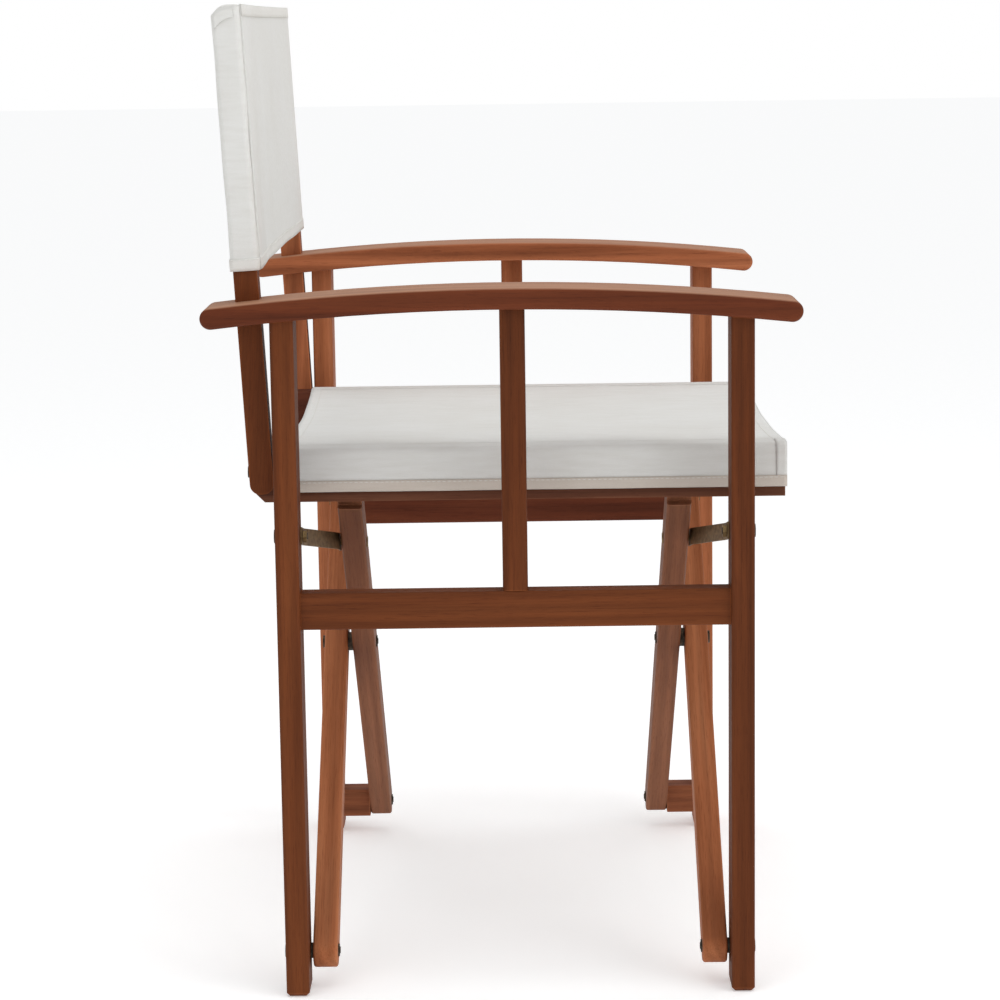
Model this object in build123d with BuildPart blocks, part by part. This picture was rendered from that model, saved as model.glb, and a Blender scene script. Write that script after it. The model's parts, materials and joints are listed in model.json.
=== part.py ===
from build123d import *
import math
import os

# Folding director chair. Millimetres, +Z up, the floor at Z = 0.
# The sitter faces -Y; the chair's right side is -X and its left side is +X.
# Origin: on the floor, under the middle of the overall box.

# ---- driving dimensions -----------------------------------------------------
LEG_IN, LEG_OUT = 250.0, 292.0          # leg, across the chair
LEG_Y = 20.5                            # leg, front to back
REAR_IN = 179.0                         # inner face of the rear legs
FRONT_IN = -196.9                       # inner face of the front legs
ARM_IN, ARM_OUT = 233.0, 298.0          # armrest, across the chair
ARM_LEN = 517.0
ARM_T = 18.5
ARM_TOP = 629.5                         # crown of the armrest
ARM_R = 2240.0                          # radius of the armrest's arch
LOW_X = (263.0, 287.0)                  # lower rail of a side frame
LOW_Z = (331.5, 364.0)
SLAT_Y, SLAT_W, SLAT_T = -9.0, 22.0, 22.0
RAIL_IN, RAIL_OUT = 203.0, 226.0        # seat rail, across the chair
RAIL_Y = (-249.5, 222.5)
RAIL_Z = (435.5, 481.5)
POST_IN, POST_OUT = 246.0, 266.0        # back post, across the chair
POST_D = 20.8                           # back post, front to back
LEAN = 2.9                              # back posts lean back, degrees
POST_REF = (217.8, 582.0)               # a point on the post's centre line (Y, Z)
POST_Z = (449.0, 866.0)
P_BOT, Z_BOT = 258.0, 32.0              # foot pivots of the cross legs
P_TOP, Z_TOP = 211.0, 448.0             # pivots of the cross legs in the seat rails
MEM_T, MEM_W = 22.0, 30.0               # cross leg section
GAP_A, GAP_B = 2.4, 29.5                # planes of the outer and inner cross legs
STAY_X, STAY_Z = 262.0, 411.0           # pivot of a stay on its leg
PEG_X = 138.0                           # peg on the cross leg that the stay holds
CLOTH = 1.6
R_BOLT = 3.0
R_RUN = 3.06                            # bore of a running fit on a 6 mm bolt
R_DOWEL = 4.0

SLOPE = (Z_TOP - Z_BOT) / (P_BOT + P_TOP)
THETA = math.degrees(math.atan(SLOPE))
Z_MID = Z_BOT + SLOPE * P_BOT
PEG_Z = Z_MID + SLOPE * PEG_X

os.makedirs("parts", exist_ok=True)


def save(part, label):
    part.label = label
    export_step(part, f"parts/{label}.step")


def yd(end, d):
    """Y at depth d inside the rear (+1) or front (-1) pair of legs."""
    return REAR_IN - d if end > 0 else FRONT_IN + d


def y_span(end, d0, d1):
    a, b = yd(end, d0), yd(end, d1)
    return (a, b) if a < b else (b, a)


def xz_plane(y):
    """Plane with local x along +X, local y along +Z and normal -Y, at Y = y."""
    return Plane(origin=(0, y, 0), x_dir=(1, 0, 0), z_dir=(0, -1, 0))


def lean_plane(along):
    """Plane across the post, a distance along its centre line from POST_REF."""
    a = math.radians(LEAN)
    up = (0, math.sin(a), math.cos(a))
    o = (0, POST_REF[0] + along * up[1], POST_REF[1] + along * up[2])
    return Plane(origin=o, x_dir=(1, 0, 0), z_dir=up)


def bolt_with_head(side, x, z, y_head, y_end, head_r=6.0, head_t=2.6, r=R_BOLT):
    """Round-headed bolt along Y; the head's underside is at y_head."""
    out = 1 if y_head > y_end else -1
    with BuildPart() as b:
        with BuildSketch(xz_plane(y_head)) as _s:
            with Locations((side * x, z)):
                Circle(r)
        extrude(amount=out * (y_head - y_end) if out > 0 else -(y_end - y_head))
        with BuildSketch(xz_plane(y_head)) as _h:
            with Locations((side * x, z)):
                Circle(head_r)
        extrude(amount=-out * head_t)
    return b.part


def ring_y(x, z, y0, y1, r_out, r_in, hexagon=False):
    """Washer, or a nut when hexagon is set, lying across Y from y0 to y1."""
    with BuildPart() as b:
        with BuildSketch(xz_plane(max(y0, y1))) as _s:
            with Locations((x, z)):
                if hexagon:
                    RegularPolygon(r_out, 6)
                else:
                    Circle(r_out)
                Circle(r_in, mode=Mode.SUBTRACT)
        extrude(amount=abs(y1 - y0))
    return b.part


def group(parts):
    with BuildPart() as g:
        for p in parts:
            add(p)
    return g.part


def arm_profile():
    """Side profile of the armrest in the YZ plane: concentric arcs with round ends."""
    zc = ARM_TOP - ARM_R
    rm = ARM_R - ARM_T / 2
    al = math.asin((ARM_LEN / 2 - ARM_T / 2) / rm)

    def pt(r, a):
        return (r * math.sin(a), zc + r * math.cos(a))

    ri = ARM_R - ARM_T
    tip = (rm * math.sin(al) + ARM_T / 2 * math.cos(al), zc + rm * math.cos(al) - ARM_T / 2 * math.sin(al))
    with BuildSketch(Plane.XY) as s:
        with BuildLine():
            ThreePointArc(pt(ARM_R, -al), pt(ARM_R, 0), pt(ARM_R, al))
            ThreePointArc(pt(ARM_R, al), tip, pt(ri, al))
            ThreePointArc(pt(ri, al), pt(ri, 0), pt(ri, -al))
            ThreePointArc(pt(ri, -al), (-tip[0], tip[1]), pt(ARM_R, -al))
        make_face()
    return s.sketch


# ---- dowels: (centre, axis, length) per side ----------------------------------
def dowels(side):
    xc = side * (LOW_X[0] + LOW_X[1]) / 2
    zs = [LOW_Z[0] + 10, LOW_Z[1] - 10]
    out = []
    for z in zs:
        out.append((xc, REAR_IN, z, "Y", 36.0))
        out.append((xc, FRONT_IN, z, "Y", 36.0))
    out.append((xc, SLAT_Y, LOW_Z[1], "Z", 30.0))
    out.append((xc, SLAT_Y, 608.0, "Z", 22.0))
    out.append((side * 279.0, REAR_IN + LEG_Y / 2, 600.5, "Z", 28.0))
    out.append((side * 271.0, FRONT_IN - LEG_Y / 2, 600.5, "Z", 28.0))
    return out


def dowel_solids(side, r):
    with BuildPart() as d:
        for x, y, z, ax, ln in dowels(side):
            rot = (90, 0, 0) if ax == "Y" else (0, 0, 0)
            with Locations(Location((x, y, z), rot)):
                Cylinder(r, ln)
    return d.part


def lean_box(x0, x1, half_y, s0, s1):
    with BuildPart() as b:
        with BuildSketch(lean_plane(s0)):
            with Locations(((x0 + x1) / 2, 0)):
                Rectangle(abs(x1 - x0), 2 * half_y)
        extrude(amount=s1 - s0)
    return b.part


S_FOOT = (POST_Z[0] - POST_REF[1]) / math.cos(math.radians(LEAN))
S_TOP = (POST_Z[1] - POST_REF[1]) / math.cos(math.radians(LEAN))
FOOT_BOLT_Z = 468.0
SAME = {-1: "right", 1: "left"}


def post_y(z):
    return POST_REF[0] + (z - POST_REF[1]) * math.tan(math.radians(LEAN))


def frame_side(side):
    nm = SAME[side]
    inner_d = GAP_A if side < 0 else GAP_B      # which cross legs stand on this side
    dw = dowel_solids(side, R_DOWEL)

    profile = arm_profile()
    # armrest with a mortise for the back post
    with BuildPart() as arm:
        with BuildSketch(Plane.YZ.offset(side * ARM_IN)):
            add(profile)
        extrude(amount=side * (ARM_OUT - ARM_IN))
        long_edges = arm.edges().filter_by(GeomType.CIRCLE)
        fillet(long_edges, 3.0)
        arm_blank = arm.part
    arm_cut = arm_blank
    post_hole = lean_box(side * (POST_IN - 0.0), side * (POST_OUT + 0.0), POST_D / 2, S_FOOT + 100, S_TOP - 100)
    with BuildPart() as armrest:
        add(arm_cut)
        add(post_hole, mode=Mode.SUBTRACT)
        add(dw, mode=Mode.SUBTRACT)
    save(armrest.part, f"{nm}_armrest")

    # plain arm body used only to trim the tops of the uprights
    with BuildPart() as trim:
        with BuildSketch(Plane.YZ.offset(side * (ARM_IN - 40))):
            add(profile)
        extrude(amount=side * (ARM_OUT - ARM_IN + 80))

    bolts = []
    for end, tag in ((1, "rear"), (-1, "front")):
        y0, y1 = y_span(end, 0, -LEG_Y)
        with BuildPart() as leg:
            with BuildSketch(Plane.XY):
                with Locations((side * (LEG_IN + LEG_OUT) / 2, (y0 + y1) / 2)):
                    RectangleRounded(LEG_OUT - LEG_IN, LEG_Y, 3.0)
            extrude(amount=606)
            chamfer(leg.faces().sort_by(Axis.Z)[0].edges(), 3.0)
            add(trim.part, mode=Mode.SUBTRACT)
            add(dw, mode=Mode.SUBTRACT)
            for x, z in ((P_BOT, Z_BOT), (STAY_X, STAY_Z)):
                with Locations(Location((side * x, (y0 + y1) / 2, z), (90, 0, 0))):
                    Cylinder(R_BOLT, 60, mode=Mode.SUBTRACT)
            if end > 0:
                with Locations(Location((side * 258.0, REAR_IN + 34, FOOT_BOLT_Z), (90, 0, 0))):
                    Cylinder(R_BOLT, 60, mode=Mode.SUBTRACT)
        save(leg.part.solids().sort_by(SortBy.VOLUME)[-1], f"{nm}_{tag}_leg")

    # lower rail between the legs
    with BuildPart() as low:
        with BuildSketch(Plane.XZ.offset(-FRONT_IN)):
            with Locations((side * sum(LOW_X) / 2, sum(LOW_Z) / 2)):
                RectangleRounded(LOW_X[1] - LOW_X[0], LOW_Z[1] - LOW_Z[0], 3.0)
        extrude(amount=-(REAR_IN - FRONT_IN))
        add(dw, mode=Mode.SUBTRACT)
    save(low.part, f"{nm}_lower_rail")

    # upright slat from the lower rail to the armrest
    with BuildPart() as slat:
        with BuildSketch(Plane.XY.offset(LOW_Z[1])):
            with Locations((side * sum(LOW_X) / 2, SLAT_Y)):
                RectangleRounded(SLAT_T, SLAT_W, 5.0)
        extrude(amount=614 - LOW_Z[1])
        add(trim.part, mode=Mode.SUBTRACT)
        add(dw, mode=Mode.SUBTRACT)
    save(slat.part.solids().sort_by(SortBy.VOLUME)[-1], f"{nm}_upright_slat")

    save(dw, f"{nm}_frame_dowels")

    # back post through the armrest, bolted to the rear leg at its foot
    with BuildPart() as post:
        add(lean_box(side * POST_IN, side * POST_OUT, POST_D / 2, S_FOOT, S_TOP))
        lean_dir = Vector(0, math.sin(math.radians(LEAN)), math.cos(math.radians(LEAN)))
        ends = [e for e in post.edges().filter_by(Axis.X) if e.center().Z < 470]
        fillet(ends, 9.0)
        tops = [e for e in post.edges().filter_by(Axis.X) if e.center().Z > 800]
        fillet(tops, 3.0)
        with Locations(Location((side * 258.0, 214, FOOT_BOLT_Z), (90, 0, 0))):
            Cylinder(R_BOLT, 60, mode=Mode.SUBTRACT)
    save(post.part, f"{nm}_back_post")

    # spacer, bolt and nut of the post's foot
    leg_back = REAR_IN + LEG_Y
    front_face = post_y(FOOT_BOLT_Z) - (POST_D / 2) / math.cos(math.radians(LEAN))
    back_face = post_y(FOOT_BOLT_Z) + (POST_D / 2) / math.cos(math.radians(LEAN))
    save(bolt_with_head(side, 258.0, FOOT_BOLT_Z, back_face + 0.4, REAR_IN + 4.0, head_r=5.0, head_t=0.9), f"{nm}_post_bolt")
    save(ring_y(side * 258.0, FOOT_BOLT_Z, leg_back, front_face - 0.4, 6.5, R_BOLT), f"{nm}_post_spacer")

    # pivot bolts, washers and nuts
    piv, nuts = [], []
    for end in (1, -1):
        out = yd(end, -LEG_Y)
        # foot pivot
        far = yd(end, inner_d + MEM_T + 2.0)
        piv.append(bolt_with_head(side, P_BOT, Z_BOT, out, far))
        nuts.append(ring_y(side * P_BOT, Z_BOT, yd(end, inner_d + MEM_T - 2.9), yd(end, inner_d + MEM_T + 1.3), 5.8, R_BOLT, hexagon=True))
        if side < 0:
            nuts.append(ring_y(side * P_BOT, Z_BOT, yd(end, 0), yd(end, GAP_A - 0.3), 7.0, R_BOLT))
    save(group(piv), f"{nm}_foot_bolts")
    save(group(nuts), f"{nm}_foot_nuts")

    pivots, locks = [], []
    for end in (1, -1):
        out = yd(end, -LEG_Y)
        pivots.append(bolt_with_head(side, STAY_X, STAY_Z, out, yd(end, 6.4), head_r=6.0))
        locks.append(ring_y(side * STAY_X, STAY_Z, yd(end, 2.4), yd(end, 5.6), 5.8, R_BOLT, hexagon=True))
    save(group(pivots), f"{nm}_stay_bolts")
    save(group(locks), f"{nm}_stay_nuts")

    if side > 0:
        # wooden spacers between the left legs and the inner cross legs
        sp = []
        for end in (1, -1):
            a, b = y_span(end, 0, GAP_B - 0.4)
            with BuildPart() as blk:
                with BuildSketch(Plane.XZ.offset(-a)):
                    with Locations((side * P_BOT, Z_BOT)):
                        RectangleRounded(30.0, 29.0, 3.0)
                extrude(amount=-(b - a))
                with Locations(Location((side * P_BOT, (a + b) / 2, Z_BOT), (90, 0, 0))):
                    Cylinder(R_BOLT, 60, mode=Mode.SUBTRACT)
            sp.append(blk.part)
        save(group(sp), f"{nm}_foot_spacers")


def cross_leg(end, d, side_top, label, peg_d):
    """Cross leg whose foot is on side -side_top and whose head is in the rail on side_top."""
    y0, y1 = y_span(end, d, d + MEM_T)
    foot = (-side_top * P_BOT, Z_BOT)
    head = (side_top * P_TOP, Z_TOP)
    length = math.dist(foot, head)
    ang = math.degrees(math.atan2(head[1] - foot[1], head[0] - foot[0]))
    pl = Plane(origin=(foot[0], y1, foot[1]), x_dir=(math.cos(math.radians(ang)), 0, math.sin(math.radians(ang))), z_dir=(0, -1, 0))
    mid = length * P_BOT / (P_BOT + P_TOP)
    peg = mid + PEG_X / math.cos(math.radians(THETA))
    with BuildPart() as m:
        with BuildSketch(pl):
            with Locations(((length - 17) / 2, 0)):
                Rectangle(length - 17, MEM_W)
            Circle(MEM_W / 2)
            with Locations((length - 12, 0)):
                Rectangle(24, 20)
            with Locations((length, 0)):
                Circle(10)
        extrude(amount=MEM_T)
        long_edges = [e for e in m.edges().filter_by(GeomType.LINE) if e.length > 300]
        fillet(long_edges, 2.5)
        with BuildSketch(pl):
            for s in (0, length):
                with Locations((s, 0)):
                    Circle(R_RUN)
            with Locations((mid, 0)):
                Circle(R_RUN if label.startswith("inner") else R_BOLT)
            with Locations((peg, 0)):
                Circle(R_BOLT)
        extrude(amount=MEM_T, mode=Mode.SUBTRACT)
        # recesses for the nuts in the leg's inner face
        nut_at = [foot] + ([(0.0, Z_MID)] if label.startswith("inner") else [])
        for x, z in nut_at:
            with Locations(Location((x, yd(end, d + MEM_T), z), (90, 0, 0))):
                Cylinder(7.0, 6.0, mode=Mode.SUBTRACT)
    save(m.part, label)


frame_side(-1)
frame_side(1)

for end, tag in ((1, "rear"), (-1, "front")):
    cross_leg(end, GAP_A, 1, f"outer_cross_leg_{tag}", 0)
    cross_leg(end, GAP_B, -1, f"inner_cross_leg_{tag}", 0)

# centre pivots: bolt from the outer leg's face, washer between the legs, nut inside
cb, cn = [], []
for end in (1, -1):
    cb.append(bolt_with_head(0, 0, Z_MID, yd(end, GAP_A), yd(end, GAP_B + MEM_T + 2.0)))
    cn.append(ring_y(0, Z_MID, yd(end, GAP_A + MEM_T + 0.1), yd(end, GAP_B - 0.1), 9.0, R_BOLT))
    cn.append(ring_y(0, Z_MID, yd(end, GAP_B + MEM_T - 2.9), yd(end, GAP_B + MEM_T + 1.3), 5.8, R_BOLT, hexagon=True))
save(group(cb), "centre_bolts")
save(group(cn), "centre_nuts_and_washers")

# pegs that the stays hold
outer_pegs, inner_pegs = [], []
for end in (1, -1):
    # outer legs: head inside, stub outside
    outer_pegs.append(bolt_with_head(1, PEG_X, PEG_Z, yd(end, GAP_A + MEM_T), yd(end, 0.4), head_r=5.5, head_t=1.0))
    # inner legs: head inside, stub with a collar outside
    inner_pegs.append(bolt_with_head(-1, PEG_X, PEG_Z, yd(end, GAP_B + MEM_T), yd(end, GAP_B - 6.4), head_r=5.0, head_t=1.2))
    inner_pegs.append(ring_y(-PEG_X, PEG_Z, yd(end, GAP_B - 3.6), yd(end, GAP_B - 6.0), 5.6, R_BOLT))
save(group(outer_pegs), "outer_leg_pegs")
save(group(inner_pegs), "inner_leg_pegs")


def seat_side(side):
    """Seat rail, its hinge brackets, pins and screws, and the cloth wrapped round it."""
    nm = SAME[side]
    d = GAP_A if side > 0 else GAP_B            # plane of the cross legs that end here
    with BuildPart() as rail:
        with BuildSketch(Plane.XY.offset(RAIL_Z[0])):
            with Locations((side * (RAIL_IN + RAIL_OUT) / 2, sum(RAIL_Y) / 2)):
                Rectangle(RAIL_OUT - RAIL_IN, RAIL_Y[1] - RAIL_Y[0])
        extrude(amount=RAIL_Z[1] - RAIL_Z[0])
        low_back = [e for e in rail.edges().filter_by(Axis.X) if e.center().Z < 440 and e.center().Y > 200]
        chamfer(low_back, 10.0)
        tops = [e for e in rail.edges().filter_by(Axis.Y) if e.center().Z > 480]
        fillet(tops, 2.5)
        for end in (1, -1):
            a, b = y_span(end, d - 3.0, d + MEM_T + 3.0)
            with Locations((side * (RAIL_IN - 5 + 222.5) / 2, (a + b) / 2, (RAIL_Z[0] - 5 + 464) / 2)):
                Box(222.5 - RAIL_IN + 5, b - a, 464 - RAIL_Z[0] + 5, mode=Mode.SUBTRACT)
            for off in (-7.0, 7.0):
                with Locations((side * P_TOP, (a + b) / 2 + off, 468)):
                    Cylinder(1.8, 16, mode=Mode.SUBTRACT)
    save(rail.part, f"{nm}_seat_rail")

    br, pins, scr = [], [], []
    for end in (1, -1):
        a, b = y_span(end, d - 2.9, d + MEM_T + 2.9)
        with BuildPart() as u:
            with Locations((side * 212.5, (a + b) / 2, (441 + 464) / 2)):
                Box(17.0, b - a, 23.0)
                with Locations((0, 0, -2.0)):
                    Box(17.0, b - a - 5.0, 23.0, mode=Mode.SUBTRACT)
            with Locations(Location((side * P_TOP, (a + b) / 2, Z_TOP), (90, 0, 0))):
                Cylinder(R_BOLT, 60, mode=Mode.SUBTRACT)
            for off in (-7.0, 7.0):
                with Locations((side * P_TOP, (a + b) / 2 + off, 463)):
                    Cylinder(1.8, 8, mode=Mode.SUBTRACT)
        br.append(u.part)
        with BuildPart() as pin:
            with Locations(Location((side * P_TOP, (a + b) / 2, Z_TOP), (90, 0, 0))):
                Cylinder(R_BOLT, b - a)
        pins.append(pin.part)
        for off in (-7.0, 7.0):
            with BuildPart() as sc:
                with Locations((side * P_TOP, (a + b) / 2 + off, (461.9 + 476) / 2)):
                    Cylinder(1.8, 476 - 461.9)
                with Locations((side * P_TOP, (a + b) / 2 + off, 461.0)):
                    Cylinder(3.2, 1.9)
            scr.append(sc.part)
    save(group(br), f"{nm}_rail_brackets")
    save(group(pins), f"{nm}_rail_pins")
    save(group(scr), f"{nm}_rail_screws")

    # seat cloth wrapped over the rail: top, outer side and a short return inside
    g = 0.3
    with BuildPart() as wrap:
        with BuildSketch(Plane.XZ.offset(251.0)):
            with BuildLine():
                Polyline(
                    (side * (RAIL_IN - g), RAIL_Z[1] + g),
                    (side * (RAIL_IN - g), RAIL_Z[1] + g + CLOTH),
                    (side * (RAIL_OUT + g + CLOTH), RAIL_Z[1] + g + CLOTH),
                    (side * (RAIL_OUT + g + CLOTH), 444.5),
                    (side * (RAIL_OUT + g), 444.5),
                    (side * (RAIL_OUT + g), RAIL_Z[1] + g),
                    close=True,
                )
            make_face()
        extrude(amount=-450.0)
    save(wrap.part, f"seat_canvas_{nm}_wrap")


seat_side(-1)
seat_side(1)

# ---- stays ---------------------------------------------------------------------
def stay(side, end, label):
    """Flat steel stay: pivots on the leg's bolt, its notched inner end holds the peg."""
    inner = side < 0                            # joggled to the inner plane on the right side
    d_leg = 0.4
    d_peg = GAP_B - 3.3 if inner else d_leg
    t = 1.6
    run = STAY_X - PEG_X
    drop = math.degrees(math.atan2(STAY_Z - PEG_Z, run))
    # local frame: origin on the leg's bolt, x towards the chair's middle, y = depth inwards
    a = math.radians(drop)
    ux = (-side * math.cos(a), 0, -math.sin(a))
    sgn = -1 if end > 0 else 1                  # world Y direction of growing depth
    nz = Vector(*ux).cross(Vector(0, sgn, 0))
    pl = Plane(origin=(side * STAY_X, yd(end, 0), STAY_Z), x_dir=ux, z_dir=(nz.X, nz.Y, nz.Z))
    L = math.hypot(run, STAY_Z - PEG_Z)
    half = 7.5
    with BuildPart() as s:
        with BuildSketch(pl.offset(-half)):
            with BuildLine():
                if inner:
                    Polyline((-9, d_leg), (14, d_leg), (L - 26, d_peg - 0.0), (L + 9, d_peg), (L + 9, d_peg + t),
                             (L - 27, d_peg + t), (13, d_leg + t), (-9, d_leg + t), close=True)
                else:
                    Polyline((-9, d_leg), (L + 9, d_leg), (L + 9, d_leg + t), (-9, d_leg + t), close=True)
            make_face()
        extrude(amount=2 * half)
        # bore on the leg's bolt
        with Locations(Location((side * STAY_X, yd(end, 1.5), STAY_Z), (90, 0, 0))):
            Cylinder(R_RUN, 8, mode=Mode.SUBTRACT)
        # notch over the peg, open upwards
        yc = yd(end, d_peg + t / 2)
        with Locations(Location((side * PEG_X, yc, PEG_Z), (90, 0, 0))):
            Cylinder(R_BOLT + 0.4, 8, mode=Mode.SUBTRACT)
        with Locations((side * (PEG_X + 0.9), yc, PEG_Z + 10)):
            Box(2 * (R_BOLT + 0.4) + 1.8, 8, 20, mode=Mode.SUBTRACT)
    save(s.part.solids().sort_by(SortBy.VOLUME)[-1], label)


for side in (-1, 1):
    for end, tag in ((1, "rear"), (-1, "front")):
        stay(side, end, f"{SAME[side]}_{tag}_stay")

# ---- cloth between the rails and between the posts -------------------------------
with BuildPart() as seat:
    with BuildSketch(Plane.XY.offset(RAIL_Z[1] + 0.3)):
        with Locations((0, -26.0)):
            Rectangle(2 * (RAIL_IN - 0.8), 450.0)
    extrude(amount=CLOTH)
save(seat.part, "seat_canvas")

S_BOT = (645.0 - POST_REF[1]) / math.cos(math.radians(LEAN))
S_CAP = S_TOP + 6.0
for side in (-1, 1):
    x0, x1 = POST_IN - 0.4, POST_OUT + 0.4
    hy = POST_D / 2 + 0.4
    outer = lean_box(side * (x0 - CLOTH), side * (x1 + CLOTH), hy + CLOTH, S_BOT, S_CAP)
    hollow = lean_box(side * x0, side * x1, hy, S_BOT - 5, S_TOP + 0.4)
    with BuildPart() as slv:
        add(outer)
        add(hollow, mode=Mode.SUBTRACT)
    save(slv.part, f"back_canvas_{SAME[side]}_sleeve")
with BuildPart() as back:
    with BuildSketch(lean_plane(S_BOT)):
        with Locations((0, -(POST_D / 2 + 0.4 + CLOTH / 2))):
            Rectangle(2 * (POST_IN - 0.4 - CLOTH - 0.4), CLOTH)
    extrude(amount=S_CAP - S_BOT)
save(back.part, "back_canvas")
print("theta", THETA, "z_mid", Z_MID, "peg_z", PEG_Z)
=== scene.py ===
import bpy
import bmesh
import json
import math
import random
from mathutils import Matrix, Vector

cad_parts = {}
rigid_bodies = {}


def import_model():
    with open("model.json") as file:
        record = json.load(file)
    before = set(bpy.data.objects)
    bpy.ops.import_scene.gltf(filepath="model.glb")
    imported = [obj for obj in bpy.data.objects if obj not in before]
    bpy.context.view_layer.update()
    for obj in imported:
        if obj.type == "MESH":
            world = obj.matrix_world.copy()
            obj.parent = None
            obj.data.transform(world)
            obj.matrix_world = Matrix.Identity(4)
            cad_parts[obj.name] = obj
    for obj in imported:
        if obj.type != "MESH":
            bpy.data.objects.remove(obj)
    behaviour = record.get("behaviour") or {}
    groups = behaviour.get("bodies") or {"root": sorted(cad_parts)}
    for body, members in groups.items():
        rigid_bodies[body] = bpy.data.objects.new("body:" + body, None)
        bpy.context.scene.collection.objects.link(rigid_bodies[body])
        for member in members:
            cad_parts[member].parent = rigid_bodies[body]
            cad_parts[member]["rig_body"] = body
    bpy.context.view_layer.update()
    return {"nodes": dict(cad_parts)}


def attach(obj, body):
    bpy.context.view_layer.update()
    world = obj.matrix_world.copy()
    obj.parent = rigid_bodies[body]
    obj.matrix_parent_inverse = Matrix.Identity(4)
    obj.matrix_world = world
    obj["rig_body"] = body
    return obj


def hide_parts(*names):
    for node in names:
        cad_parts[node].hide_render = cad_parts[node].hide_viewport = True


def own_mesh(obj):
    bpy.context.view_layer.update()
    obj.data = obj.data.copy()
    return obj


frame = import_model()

random.seed(7)

# ---- sizes, metres, the same as the CAD ---------------------------------------------
RAIL_IN, RAIL_OUT = 0.203, 0.226
RAIL_TOP = 0.4815
WRAP_LOW = 0.4445
SEAT_Y0, SEAT_Y1 = -0.251, 0.199
POST_IN, POST_OUT, POST_D = 0.246, 0.266, 0.0208
LEAN = math.radians(2.9)
POST_REF = Vector((0.0, 0.2178, 0.582))
UP = Vector((0.0, math.sin(LEAN), math.cos(LEAN)))
BACK = Vector((0.0, math.cos(LEAN), -math.sin(LEAN)))
S_BOT = (0.645 - 0.582) / math.cos(LEAN)
S_CAP = (0.866 - 0.582) / math.cos(LEAN) + 0.0055
THETA = math.atan((0.448 - 0.032) / (0.258 + 0.211))


def srgb(r, g, b):
    def f(v):
        v = v / 255.0
        return v / 12.92 if v <= 0.04045 else ((v + 0.055) / 1.055) ** 2.4
    return (f(r), f(g), f(b), 1.0)


# ---- materials ------------------------------------------------------------------------
def new_mat(name):
    m = bpy.data.materials.new(name)
    m.use_nodes = True
    nt = m.node_tree
    for n in list(nt.nodes):
        nt.nodes.remove(n)
    out = nt.nodes.new("ShaderNodeOutputMaterial")
    bsdf = nt.nodes.new("ShaderNodeBsdfPrincipled")
    nt.links.new(bsdf.outputs["BSDF"], out.inputs["Surface"])
    return m, nt, bsdf


def ramp(nt, stops):
    r = nt.nodes.new("ShaderNodeValToRGB")
    els = r.color_ramp.elements
    while len(els) > 1:
        els.remove(els[-1])
    els[0].position, els[0].color = stops[0]
    for p, c in stops[1:]:
        e = els.new(p)
        e.color = c
    return r


def mix_rgb(nt, kind, fac, a, b):
    m = nt.nodes.new("ShaderNodeMix")
    m.data_type = "RGBA"
    m.blend_type = kind
    m.clamp_result = True
    if hasattr(fac, "is_linked") or isinstance(fac, bpy.types.NodeSocket):
        nt.links.new(fac, m.inputs["Factor"])
    else:
        m.inputs["Factor"].default_value = fac
    for v, k in ((a, 6), (b, 7)):
        if isinstance(v, bpy.types.NodeSocket):
            nt.links.new(v, m.inputs[k])
        else:
            m.inputs[k].default_value = v
    return m.outputs[2]


def noise(nt, vec, scale, detail=4.0, rough=0.55, dist=0.0):
    n = nt.nodes.new("ShaderNodeTexNoise")
    n.inputs["Scale"].default_value = scale
    n.inputs["Detail"].default_value = detail
    n.inputs["Roughness"].default_value = rough
    n.inputs["Distortion"].default_value = dist
    nt.links.new(vec, n.inputs["Vector"])
    return n


def mapping(nt, vec, rot=(0, 0, 0), scale=(1, 1, 1), loc=(0, 0, 0)):
    m = nt.nodes.new("ShaderNodeMapping")
    m.inputs["Rotation"].default_value = rot
    m.inputs["Scale"].default_value = scale
    m.inputs["Location"].default_value = loc
    nt.links.new(vec, m.inputs["Vector"])
    return m.outputs["Vector"]


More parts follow.
